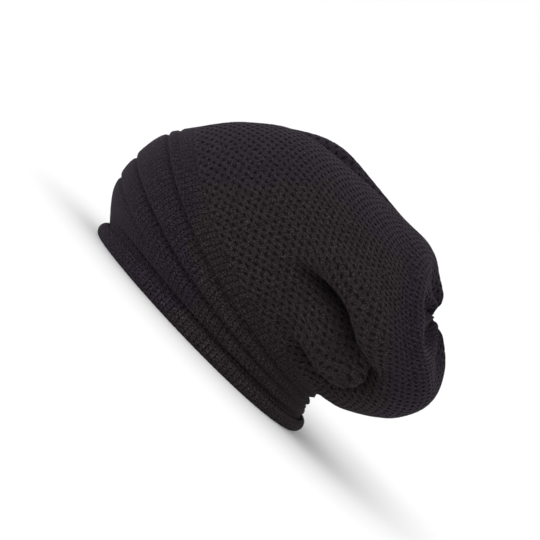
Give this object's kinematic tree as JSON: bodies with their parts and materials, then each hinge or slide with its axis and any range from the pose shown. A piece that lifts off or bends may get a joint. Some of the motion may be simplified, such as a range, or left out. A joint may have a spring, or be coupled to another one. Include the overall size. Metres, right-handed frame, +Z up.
{
  "type": "slouchy beanie",
  "caption": "Slouchy knitted beanie on its rolled brim, with a tucked plain band, an openwork crown that hangs back in folds, and a drawn-in end.",
  "frame": {"origin": "middle of the bounding box in X and Y, on the surface that the hat stands on", "axes": "+X from the forehead to the slouch at the back, +Y to the far side of the hat, +Z up from the brim to the crown"},
  "size_m": [0.283, 0.2022, 0.1724],
  "materials": {
    "plain_knit": "smooth-sided plain knit",
    "open_knit": "openwork knit with a staggered lattice of small holes"
  },
  "bodies": {
    "root": {"rolled_hem": "plain_knit", "tucked_band": "plain_knit", "slouch_crown": "open_knit", "top_gather": "open_knit"}
  },
  "joints": []
}
